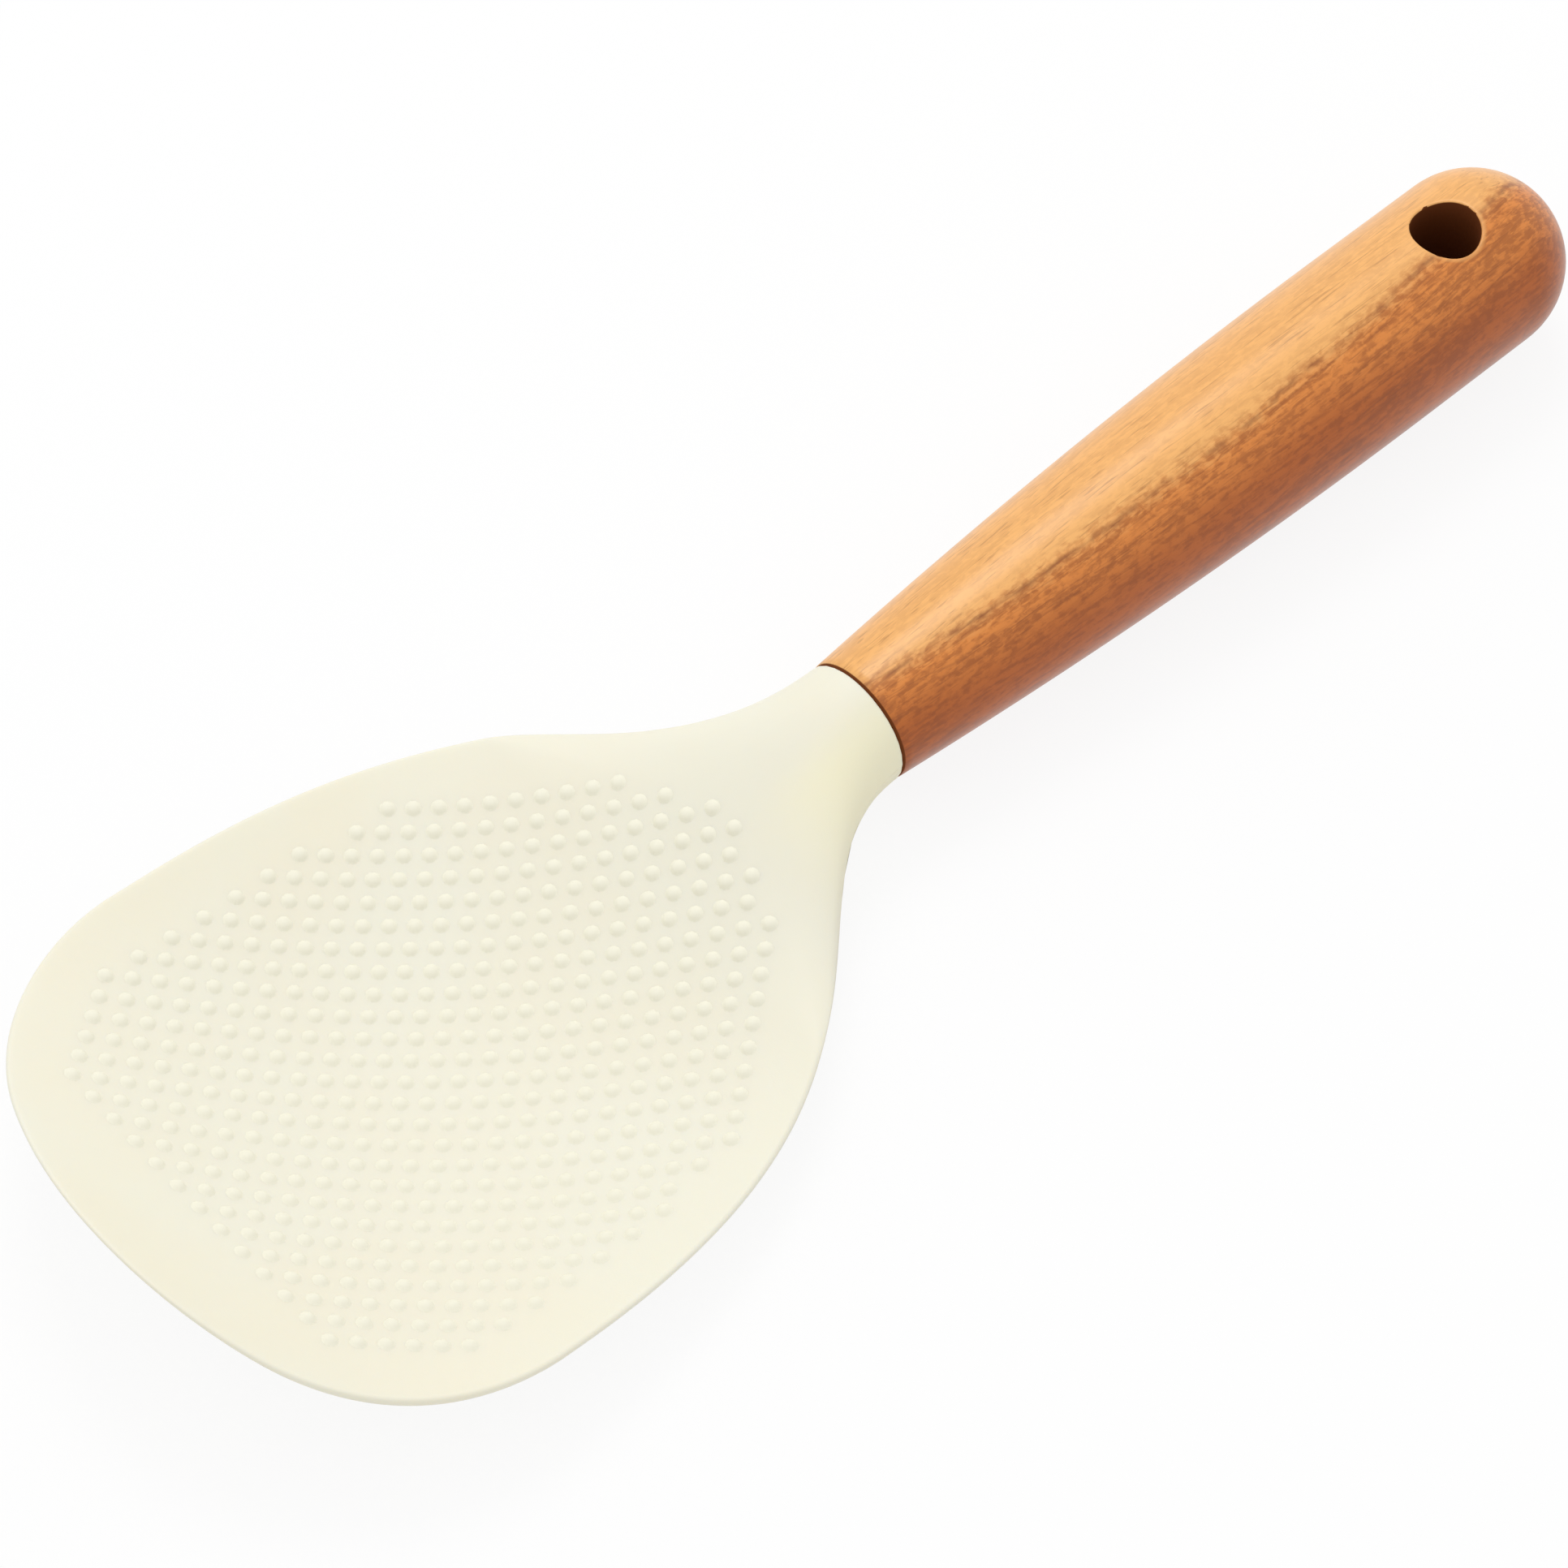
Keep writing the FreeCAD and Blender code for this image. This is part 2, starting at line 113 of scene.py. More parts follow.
class StudSizes(bpy.types.PropertyGroup):
    """Sizes of the field of studs."""

    row_pitch: length("Row pitch", "Distance between rows along the blade", 2.5 * MM)
    pitch: length("Pitch", "Distance between studs across the blade", 4.0 * MM)
    radius: length("Radius", "Radius of a stud at its foot", 1.2 * MM)
    height: length("Height", "Height of a stud", 0.52 * MM)
    margin: length("Margin", "Bare border beside the field", 7.3 * MM)
    shift: length("Shift", "How far the field's sides lie nearer to the handle", 4.0 * MM)
    to_seam: length("To seam", "From the seam to the first row", 22.5 * MM)
    to_tip: length("To tip", "From the last row to the tip", 11.2 * MM)
    neck_half: length("Neck half", "Half width of the first row", 2.2 * MM)
    neck_shoulder: length("Neck shoulder", "Half width of the neck end's shoulder", 10.2 * MM)
    tip_half: length("Tip half", "Half width of the last row", 18.2 * MM)
    tip_shoulder: length("Tip shoulder", "Half width of the tip end's shoulder", 22.2 * MM)
    sides: IntProperty(name="Sides", description="Faces round one stud",
                       default=10, min=6, max=16)
    rows: IntProperty(name="Rows", description="Faces from a stud's foot to its top",
                      default=5, min=3, max=8)


class HandleSizes(bpy.types.PropertyGroup):
    """Sizes of the wooden handle."""

    front_radius: length("Front radius", "Radius at the seam", 8.6 * MM)
    swell: length("Swell", "Length over which the handle grows to its full radius", 92.5 * MM)
    front_chamfer: length("Front chamfer", "Bevel that leaves a groove at the seam", 0.45 * MM)
    hole_radius: length("Hole radius", "Radius of the hanging hole", HANG_HOLE["dims"]["r_mm"] * MM)
    hole_rounding: length("Hole rounding", "Rounding of the hole's edges", 0.3 * MM)


class Finishes(bpy.types.PropertyGroup):
    """Colours of the finishes."""

    silicone: colour("Silicone", "Cream silicone", (0.858, 0.834, 0.700))
    # Painted light: a brighter, warmer tone for the collar's shaded -Y side
    silicone_shade_glow: colour("Silicone, deep", "Thick side of the collar", (0.925, 0.880, 0.650))
    silicone_warm: colour("Silicone, warm", "Faint warm clouds", (0.864, 0.825, 0.676))
    # Pale wood, also painted as a highlight in a ring round the hanging hole
    wood_pale_and_glint: colour("Wood, pale", "Younger wood beside the main ring", (0.895, 0.458, 0.146))
    wood_main: colour("Wood, main", "Wood next to the main growth ring", (0.725, 0.245, 0.048))
    # Older wood that also paints shade on the handle's shaded -Y side
    wood_old_and_shade: colour("Wood, old", "Older wood, further from the ring", (0.420, 0.092, 0.008))
    wood_deep: colour("Wood, deep", "Darker dashes of the figure", (0.225, 0.048, 0.007))
    wood_line: colour("Wood, line", "Growth-ring lines and pores", (0.200, 0.052, 0.012))
    # Unfinished wood darkened with painted shade in the hole and a painted shadow in the seam's gap
    bare_wood_and_shade: colour("Hole", "Bare wood in the hole and at the seam", (0.150, 0.040, 0.010))
    core: colour("Core", "Moulded core", (0.72, 0.70, 0.62))
    glue: colour("Glue", "Cured glue", (0.55, 0.42, 0.20))
    floor: colour("Floor", "Pale floor", (0.92, 0.92, 0.92))


class PaddleSettings(bpy.types.PropertyGroup):
    """Everything that a user may change."""

    blade: PointerProperty(type=BladeSizes)
    studs: PointerProperty(type=StudSizes)
    handle: PointerProperty(type=HandleSizes)
    finish: PointerProperty(type=Finishes)


# Nodes

COLUMN_WIDTH = 180


class Value:
    """A socket's output, so that maths on numbers reads as Python expressions."""

    def __init__(self, nodes, socket):
        self.nodes = nodes
        self.socket = socket

    def other(self, name):
        """Another output of the same node."""
        return Value(self.nodes, self.socket.node.outputs[name])

    def maths(self, operation, first, second=0.0):
        return self.nodes.node("ShaderNodeMath", {"operation": operation}, {0: first, 1: second})

    def __add__(self, other):
        return self.maths("ADD", self, other)

    def __radd__(self, other):
        return self.maths("ADD", other, self)

    def __sub__(self, other):
        return self.maths("SUBTRACT", self, other)

    def __rsub__(self, other):
        return self.maths("SUBTRACT", other, self)

    def __mul__(self, other):
        return self.maths("MULTIPLY", self, other)

    def __rmul__(self, other):
        return self.maths("MULTIPLY", other, self)

    def __truediv__(self, other):
        return self.maths("DIVIDE", self, other)

    def __rtruediv__(self, other):
        return self.maths("DIVIDE", other, self)

    def __pow__(self, other):
        return self.maths("POWER", self, other)

    def __rpow__(self, other):
        return self.maths("POWER", other, self)

    def __abs__(self):
        return self.maths("ABSOLUTE", self)

    def greatest(self, other):
        return self.maths("MAXIMUM", self, other)

    def between(self, low, high):
        """A smooth rise from 0 at low to 1 at high, or a fall where low is above high."""
        return self.nodes.node("ShaderNodeMapRange", {"interpolation_type": "SMOOTHSTEP"},
                               {"Value": self, "From Min": low, "From Max": high})


class Nodes:
    """A node tree under construction."""

    def __init__(self, tree):
        self.tree = tree
        self.column = 0

    def node(self, kind, settings=None, sockets=None, output=0):
        """Adds a node: its settings first, then its sockets' values or links. Gives an output."""
        made = self.tree.nodes.new(kind)
        self.column += 1
        made.location = (COLUMN_WIDTH * self.column, 0)
        for name, setting in (settings or {}).items():
            setattr(made, name, setting)
        self.set_sockets(made, sockets or {})
        return Value(self, made.outputs[output]) if made.outputs else None

    def set_sockets(self, made, sockets):
        """Sets or links a node's inputs, by name or number."""
        for name, value in sockets.items():
            socket = made.inputs[name]
            if isinstance(value, Value):
                self.tree.links.new(value.socket, socket)
            elif socket.type == "RGBA":
                socket.default_value = (*value, 1.0)
            else:
                socket.default_value = value

    def vector(self, x, y, z):
        return self.node("ShaderNodeCombineXYZ", None, {"X": x, "Y": y, "Z": z})

    def vector_maths(self, operation, sockets):
        return self.node("ShaderNodeVectorMath", {"operation": operation}, sockets)

    def split(self, vector):
        """A vector's three numbers."""
        x = self.node("ShaderNodeSeparateXYZ", None, {"Vector": vector})
        return x, x.other("Y"), x.other("Z")


class Finish(Nodes):
    """A material under construction."""

    def __init__(self, name):
        self.material = bpy.data.materials.new(name)
        self.material.use_nodes = True
        super().__init__(self.material.node_tree)
        self.surface = self.tree.nodes["Principled BSDF"]

    def place(self):
        """The place on the piece, in metres."""
        return self.node("ShaderNodeTexCoord", output="Object")

    def noise(self, place, scale, detail=2.0, roughness=0.5, warp=0.0):
        """Smooth noise about 0.5."""
        return self.node("ShaderNodeTexNoise", {"noise_dimensions": "3D"}, {
            "Vector": place,
            "Scale": scale,
            "Detail": detail,
            "Roughness": roughness,
            "Distortion": warp,
        })

    def grain(self, place, along, across, detail=2.0, roughness=0.5, warp=0.0):
        """Noise with so many cells a metre along X and across it."""
        scale = (along, across, across)
        drawn_out = self.node("ShaderNodeMapping", None, {"Vector": place, "Scale": scale})
        return self.noise(drawn_out, 1.0, detail, roughness, warp)

    def mix(self, share, first, second):
        """Between two colours: the first at share 0, the second at share 1."""
        sockets = {"Factor": share, 6: first, 7: second}
        return self.node("ShaderNodeMix", {"data_type": "RGBA"}, sockets, output=2)

    def bump(self, height, distance, strength):
        """Turns a height into a normal."""
        sockets = {"Height": height, "Distance": distance, "Strength": strength}
        return self.node("ShaderNodeBump", None, sockets)

    def finish(self, **sockets):
        """Sets the surface's own sockets, named with underscores, and gives the material."""
        named = {name.replace("_", " "): value for name, value in sockets.items()}
        self.set_sockets(self.surface, named)
        return self.material


# Silicone: cells a metre in its noises, and where painted light brightens the collar's shaded side,
# in X from the seam and in Y
CLOUD_SCALE = 45.0
DUST_SCALE = 900.0
MOULD_SCALE = 5200.0
GLOW_ALONG = (-24.0 * MM, -8.0 * MM)
GLOW_ACROSS = (0.0, -7.0 * MM)
CLOUD_EDGE = (0.35, 0.7)


def silicone_finish(settings):
    """Matte cream silicone with faint clouds and a fine moulded grain, and painted warm light on
    the collar's shaded side.
    """
    finish = Finish("silicone")
    place = finish.place()
    x, y, _ = finish.split(place)
    clouds = finish.noise(place, CLOUD_SCALE).between(*CLOUD_EDGE)
    # Painted light: brightens and warms the collar's shaded -Y side
    shaded_side_glow = (x - SEAM_X).between(*GLOW_ALONG) * y.between(*GLOW_ACROSS)
    tone = finish.mix(clouds, settings.silicone, settings.silicone_warm)
    dust = finish.noise(place, DUST_SCALE, detail=3.0)
    moulded = finish.noise(place, MOULD_SCALE)
    return finish.finish(
        Base_Color=finish.mix(shaded_side_glow, tone, settings.silicone_shade_glow),
        Roughness=0.46 + 0.14 * dust,
        Specular_IOR_Level=0.35,
        Subsurface_Weight=0.2,
        Subsurface_Radius=(2.0 * MM, 1.7 * MM, 1.2 * MM),
        Subsurface_Scale=1.0,
        Normal=finish.bump(moulded, distance=0.02 * MM, strength=0.35),
    )


# The main growth ring: a bowed sheet along the handle, between the pale wood and the main wood
RING_X, RING_Y, RING_Z = 50.0 * MM, -4.6 * MM, 24.0 * MM
RING_BOW = 1.2
RING_TILT = 0.15
RING_SWAY = 1.6 * MM
RING_JAG = 1.5 * MM

# Noises of the wood: cells a metre along and across, then detail, roughness and warp
SWAY = (55.0, 60.0)
JAG = (430.0, 120.0, 4.0, 0.6)
FIBRES = (160.0, 1700.0, 2.0, 0.6)
DASHES = (620.0, 1250.0, 3.0, 0.6, 0.3)
PORES = (130.0, 3600.0, 1.0)
PATCHES = (300.0, 60.0)
TORN = (900.0, 900.0)
GROWTH_SCALE = (12.0, 480.0, 40.0)

# Where one wood turns into another, as distances from the ring
PALE_EDGE = (-2.4 * MM, 1.8 * MM)
PALE_JAG = 3.5 * MM
# The older wood also carries painted shade, darkening the handle's -Y side
OLD_AND_SHADE_EDGE = (-1.5 * MM, -8.0 * MM)
STREAK_OFFSET = 0.3 * MM
STREAK_HALF = 0.65 * MM

# Towards the handle's end, over this stretch of X, the older wood and its painted shade move away
# from the ring
END_SPAN = (65.0 * MM, 108.0 * MM)
END_SHIFT = 3.5 * MM

# Parts of each noise that show, from none to all
DASH_EDGE = (0.60, 0.40)
LINE_EDGE = (0.62, 0.38)
FIBRE_EDGE = (0.64, 0.36)
BAND_EDGE = (0.11, 0.89)
PATCH_EDGE = (0.30, 0.62)
PORE_EDGE = (0.40, 0.28)
TORN_EDGE = (0.55, 0.8)

# What the darker bands and the relief are made of
BAND_DASHES, BAND_LINES, BAND_FIBRES = 0.38, 0.24, 0.38
RELIEF_FIBRES, RELIEF_PORES, RELIEF_TORN = 0.6, 0.4, 3.0

# How much of each colour shows, and how much less of it in the pale wood
OLD_AND_SHADE_SHARE = 0.9
BAND_SHARE, BAND_FADE = 0.56, 0.40
STREAK_SHARE = 0.55
LINE_SHARE, LINE_FADE = 0.30, 0.24
LINE_HALF = 0.022
PORE_SHARE = 0.30
RIM_GLINT_SHARE = 0.5

# A painted highlight round the hole, and unfinished wood with painted shade, as distances from the
# hole's wall and from the seam
RIM_GLINT_EDGE = (0.9 * MM, 0.3 * MM)
BARE_AND_SHADE_EDGE = (0.08 * MM, 0.01 * MM)
TORN_DEPTH = 0.3 * MM
SEAM_EDGE = (0.42 * MM, 0.30 * MM)


def wood_finish(settings, hole_x, hole_radius):
    """Satin-lacquered wood: a pale and a darker side, the darker partly painted shade, growth
    lines, fibres, pores and dashes, a painted highlight round the hole and painted shade in it and
    at the seam.
    """
    finish = Finish("wood")
    place = finish.place()
    x, y, z = finish.split(place)

    # How far a point lies from the main growth ring, and the lines that run along it
    sway = finish.grain(place, *SWAY) - 0.5
    jag = finish.grain(place, *JAG) - 0.5
    along = x - RING_X
    sheet = y - RING_Y - along * along * RING_BOW + RING_TILT * (z - RING_Z)
    growth = sheet + RING_SWAY * sway
    ring = growth + RING_JAG * jag
    scale_x, scale_ring, scale_z = GROWTH_SCALE
    grown = finish.vector(x * scale_x, growth * scale_ring, z * scale_z)
    rings = finish.noise(grown, 1.0, roughness=0.55)
    fibres = finish.grain(place, *FIBRES)
    dashes = finish.grain(place, *DASHES)
    flecks = finish.grain(place, *PORES)
    patches = finish.grain(place, *PATCHES)

    # Main, older and pale wood, with darker bands; the older wood is partly painted shade
    pale = (ring + PALE_JAG * (dashes - 0.5)).between(*PALE_EDGE)
    # The older wood's darkening is partly painted shade on the handle's -Y side
    old_and_shade = (ring + END_SHIFT * x.between(*END_SPAN)).between(*OLD_AND_SHADE_EDGE)
    bands = BAND_DASHES * dashes.between(*DASH_EDGE) + BAND_LINES * rings.between(*LINE_EDGE)
    bands = (bands + BAND_FIBRES * fibres.between(*FIBRE_EDGE)).between(*BAND_EDGE)
    tone = finish.mix(old_and_shade * OLD_AND_SHADE_SHARE, settings.wood_main, settings.wood_old_and_shade)
    tone = finish.mix(pale, tone, settings.wood_pale_and_glint)
    tone = finish.mix(bands * (BAND_SHARE - BAND_FADE * pale), tone, settings.wood_deep)

    # The broken streak along the ring, thin growth lines and pores
    streak = abs(ring + STREAK_OFFSET).between(STREAK_HALF, 0.0) * patches.between(*PATCH_EDGE)
    lines = abs(rings - 0.5).between(LINE_HALF, 0.0) * (LINE_SHARE - LINE_FADE * pale)
    pores = flecks.between(*PORE_EDGE) * PORE_SHARE
    for share in (streak * STREAK_SHARE, lines, pores):
        tone = finish.mix(share, tone, settings.wood_line)

    # A painted highlight round the hole, and unfinished wood with painted shade inside it and a
    # painted shadow at the seam
    off_hole = x - hole_x
    off_wall = (off_hole * off_hole + y * y) ** 0.5 - hole_radius
    torn = finish.grain(place, *TORN)
    # A painted highlight: a lighter ring round the hole's edge
    rim_glint = off_wall.between(*RIM_GLINT_EDGE)
    tone = finish.mix(rim_glint * RIM_GLINT_SHARE, tone, settings.wood_pale_and_glint)
    # Painted shade in the hole and a painted shadow in the seam's gap, on unfinished wood
    in_hole = (off_wall - TORN_DEPTH * torn.between(*TORN_EDGE)).between(*BARE_AND_SHADE_EDGE)
    bare_and_shade = in_hole.greatest((x - SEAM_X).between(*SEAM_EDGE))
    tone = finish.mix(bare_and_shade, tone, settings.bare_wood_and_shade)

    relief = RELIEF_FIBRES * fibres + RELIEF_PORES * flecks + RELIEF_TORN * bare_and_shade * torn
    return finish.finish(
        Base_Color=tone,
        Roughness=0.34 + 0.12 * fibres + 0.45 * bare_and_shade,
        Specular_IOR_Level=0.1,
        Coat_Weight=0.55 - 0.55 * bare_and_shade,
        Coat_Roughness=0.28,
        Normal=finish.bump(relief, distance=0.03 * MM, strength=0.5),
    )


MOTTLE_SHADE = 0.85


def plain_finish(name, shade, roughness, grain_scale):
    """A hidden moulded or cured piece, with a little mottling."""
    finish = Finish(name)
    mottle = finish.noise(finish.place(), grain_scale)
    darker = tuple(MOTTLE_SHADE * part for part in shade)
    return finish.finish(
        Base_Color=finish.mix(mottle, darker, shade),
        Roughness=roughness + 0.1 * mottle,
        Normal=finish.bump(mottle, distance=0.05 * MM, strength=0.3),
    )


# Meshes

# Points this near to each other, in metres, become one, and shorter edges are taken out
MERGE_DISTANCE = 2e-6
SHORTEST_EDGE = 1e-7


def smooth_step(v):
    v = np.clip(v, 0.0, 1.0)
    return v * v * (3 - 2 * v)


def mix(first, second, share):
    return first * (1 - share) + second * share


def grid_faces(rows, columns, start=0):
    """Quads between neighbouring points of a grid that is stored row by row."""
    return [
        (start + row * columns + column, start + row * columns + column + 1,
         start + (row + 1) * columns + column + 1, start + (row + 1) * columns + column)
        for row in range(rows - 1) for column in range(columns - 1)
    ]


def make_piece(name, points, faces, material):
    """A smooth closed mesh object that rides on the paddle. Its open ends get flat caps."""
    mesh = bpy.data.meshes.new(name)
    mesh.from_pydata([tuple(point) for point in points], [], faces)
    work = bmesh.new()
    work.from_mesh(mesh)
    bmesh.ops.remove_doubles(work, verts=work.verts, dist=MERGE_DISTANCE)
    bmesh.ops.dissolve_degenerate(work, edges=work.edges, dist=SHORTEST_EDGE)
    rims = [edge for edge in work.edges if edge.is_boundary]
    for cap in bmesh.ops.holes_fill(work, edges=rims, sides=0)["faces"]:
        for edge in cap.edges:
            edge.smooth = False
    bmesh.ops.recalc_face_normals(work, faces=work.faces)
    for face in work.faces:
        face.smooth = True
    work.to_mesh(mesh)
    work.free()
    mesh.materials.append(material)
    piece = bpy.data.objects.new(name, mesh)
    bpy.context.scene.collection.objects.link(piece)
    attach(piece, BODY)
    return piece


# Blade

# How finely the outline is drawn: the side curve and its table, then the straight, corner and tip
TABLE_STEPS = 1500
SIDE_STEPS = 110
STRAIGHT_STEPS = 9
CORNER_STEPS = 49
TIP_STEPS = 33
# Shares of the collar's lip at which the outline has a point
LIP_SHARES = (0.0, 0.04, 0.15, 0.35, 0.65, 1.0)


class BladeShape:
    """The blade's outline and its top and bottom faces, as formulas."""

    def __init__(self, sizes):
        self.sizes = sizes
        self.bowl_x = SEAM_X - sizes.bowl_to_seam
        self.neck_x = SEAM_X - sizes.neck_start
        self.corner_y = HALF_WIDTH - sizes.corner_radius
        self.tip_centre_x = TIP_X + sizes.tip_radius
        reach = sizes.tip_radius - sizes.corner_radius
        self.corner_x = self.tip_centre_x - math.sqrt(reach ** 2 - self.corner_y ** 2)
        self.widest_x = self.corner_x + sizes.side_straight
        steps = np.linspace(0.0, 1.0, TABLE_STEPS)
        self.side_table = np.array([self.side_point(step)[:2] for step in steps])

    def side_point(self, share):
        """A point of the side curve and its direction: share 0 is at full width, 1 at the seam."""
        sizes = self.sizes
        poles = np.array([
            (self.widest_x, HALF_WIDTH),
            (self.widest_x + sizes.side_sweep, HALF_WIDTH),
            (SEAM_X - sizes.neck_sweep, sizes.collar_radius),
            (SEAM_X, sizes.collar_radius),
        ])
        rest = 1.0 - share
        place = rest ** 3 * poles[0] + 3 * rest ** 2 * share * poles[1]
        place = place + 3 * rest * share ** 2 * poles[2] + share ** 3 * poles[3]
        along = rest ** 2 * (poles[1] - poles[0]) + 2 * rest * share * (poles[2] - poles[1])
        along = along + share ** 2 * (poles[3] - poles[2])
        along = along / np.linalg.norm(along)
        return place[0], place[1], along[0], along[1]

    def outline(self):
        """The +Y half of the outline from the seam to the tip: points and inward normals."""
        sizes = self.sizes
        # At its end, a cubic runs three times the distance to its last pole for a share of 1
        lip_share = sizes.collar_lip / (3 * sizes.neck_sweep)
        shares = [1.0 - lip_share * step for step in LIP_SHARES]
        shares += list(np.linspace(shares[-1], 0.0, SIDE_STEPS)[1:])
        points = []
        for share in shares:
            x, y, along_x, along_y = self.side_point(share)
            points.append((x, y, along_y, -along_x))
        for x in np.linspace(self.widest_x, self.corner_x, STRAIGHT_STEPS)[1:]:
            points.append((x, HALF_WIDTH, 0.0, -1.0))
        join = math.atan2(self.corner_y, self.corner_x - self.tip_centre_x)
        for angle in np.linspace(math.pi / 2, join, CORNER_STEPS)[1:]:
            x = self.corner_x + sizes.corner_radius * math.cos(angle)
            y = self.corner_y + sizes.corner_radius * math.sin(angle)
            points.append((x, y, -math.cos(angle), -math.sin(angle)))
        for angle in np.linspace(join, math.pi, TIP_STEPS)[1:]:
            x = self.tip_centre_x + sizes.tip_radius * math.cos(angle)
            y = sizes.tip_radius * math.sin(angle)
            points.append((x, y, -math.cos(angle), -math.sin(angle)))
        return np.array(points)

    def half_width(self, x):
        """Half the width between the sides; the rounding of the tip isn't counted."""
        return np.interp(x, self.side_table[:, 0], self.side_table[:, 1])

    def top_line(self, x):
        """Height of the top face on the middle line."""
        sizes = self.sizes
        bowl_end = sizes.bowl_to_seam - sizes.crest_length
        place = np.clip(x - self.bowl_x, -sizes.bowl_radius, bowl_end)
        arc = sizes.thickness + sizes.bowl_radius - np.sqrt(sizes.bowl_radius ** 2 - place ** 2)
        along = np.clip((x - self.bowl_x - bowl_end) / sizes.crest_length, 0.0, 1.0)
        slope = bowl_end / math.sqrt(sizes.bowl_radius ** 2 - bowl_end ** 2)
        climb = slope * sizes.crest_length * along * (1 - along) ** 2
        return mix(arc, AXIS_Z + sizes.collar_radius, smooth_step(along)) + climb

    def bottom_line(self, x):
        """Height of the bottom face on the middle line."""
        sizes = self.sizes
        climb = smooth_step((x - self.bowl_x) / sizes.bowl_to_seam)
        neck = (AXIS_Z - sizes.collar_radius) * climb
        reach = (self.bowl_x - x) / (self.bowl_x - TIP_X)
        front = self.top_line(x) - mix(sizes.thickness, sizes.rim_thickness, reach ** 2)
        return np.where(x >= self.bowl_x, neck, front)

    def roundness(self, x):
        """0 on the blade and 1 where the neck is fully round."""
        return smooth_step((x - self.neck_x) / self.sizes.neck_blend)

    def faces_at(self, x, y, rim_share=1.0):
        """Heights of the bottom and top face; rim_share is 0 at the rim and 1 past its rounding."""
        sizes = self.sizes
        half = self.half_width(x)
        top, bottom = self.top_line(x), self.bottom_line(x)
        away = (x - self.bowl_x + sizes.bowl_lead) / sizes.bowl_flat_span
        rim_top = top + sizes.bowl_depth * (1 - away ** 2) * (half / HALF_WIDTH) ** 2
        off_middle = (y / half) ** 2
        flat_top = mix(top, rim_top, off_middle)
        flat_bottom = mix(bottom, rim_top - sizes.rim_thickness, off_middle)
        roundness = self.roundness(x)
        middle = mix((flat_top + flat_bottom) / 2, (top + bottom) / 2, roundness)
        round_depth = (top - bottom) / 2 * np.sqrt(np.clip(1 - off_middle, 0.0, 1.0))
        depth = mix((flat_top - flat_bottom) / 2 * rim_share, round_depth, roundness)
        return middle - depth, middle + depth


RIM_STEPS = 7
ACROSS_STEPS = 30
# How far in, as a share of the half width, the rounded neck's edge rows reach
ROUND_SHARE = 0.6
# Lines from nearer the tip than this X lean back, and the last one ends this far behind the tip
SPREAD_X = -60.0 * MM
TIP_GATHER = 22.0 * MM


def blade_points(shape):
    """Points of the bottom and top faces, on lines that run from the rim to the blade's middle."""
    sizes = shape.sizes
    outline = shape.outline()
    x, y, normal_x, normal_y = (outline[:, [column]] for column in range(4))
    turns = np.linspace(0.0, math.pi / 2, RIM_STEPS)
    inset = 1 - np.cos(turns)
    rim = sizes.rim_thickness / 2
    neck = ROUND_SHARE * shape.half_width(x) * shape.roundness(x)
    ring_x = x + normal_x * rim * inset
    ring_y = y + (normal_y * rim - neck) * inset

    # Lines from the sides run straight across; those from the tip lean back, so as not to crowd
    last_x = TIP_X + TIP_GATHER
    lean = (SPREAD_X - last_x) / (SPREAD_X - TIP_X)
    middle_x = np.where(x >= SPREAD_X, x, SPREAD_X - (SPREAD_X - x) * lean)
    steps = np.linspace(0.0, 1.0, ACROSS_STEPS)[1:]
    inner_x = mix(ring_x[:, -1:], middle_x, steps)
    inner_y = mix(ring_y[:, -1:], 0.0, steps)

    all_x, all_y = np.hstack([ring_x, inner_x]), np.hstack([ring_y, inner_y])
    rim_share = np.hstack([np.sin(turns), np.ones(len(steps))])[None, :]
    bottom, top = shape.faces_at(all_x, all_y, rim_share)
    return all_x, all_y, bottom, top


def round_collar(sizes, points):
    """Rounds the collar's edge at the seam."""
    lip = sizes.collar_lip
    into = np.clip((points[:, 0] - (SEAM_X - lip)) / lip, 0.0, 1.0)
    shrink = 1 - lip * (1 - np.sqrt(1 - into ** 2)) / sizes.collar_radius
    points[:, 1] *= shrink
    points[:, 2] = AXIS_Z + (points[:, 2] - AXIS_Z) * shrink
    return points


class PADDLE_OT_blade(bpy.types.Operator):
    """Adds the dished silicone blade, which blends into a round collar"""

    bl_idname = "paddle.blade"
    bl_label = "Silicone Blade"

    def execute(self, context):
        settings = context.scene.paddle
        shape = BladeShape(settings.blade)
        x, y, bottom, top = blade_points(shape)
        rows, columns = x.shape
        points, faces = [], []
        for side in (1, -1):
            for height in (bottom, top):
                faces += grid_faces(rows, columns, len(points))
                sheet = np.stack([x, side * y, height], axis=-1).reshape(-1, 3)
                points.extend(round_collar(settings.blade, sheet))
        piece = make_piece("blade", points, faces, silicone_finish(settings.finish))
        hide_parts("silicone_blade")
        return {"FINISHED"}


# Studs

# Counts this near to the next whole number take it
CLOSE = 1e-6
# The ends of the field widen this many times as fast as the rows' own slant
END_STEEPNESS = 3
SLOPE_STEP = 0.1 * MM
# How deep a stud's foot lies in the blade
STUD_SINK = 0.04 * MM


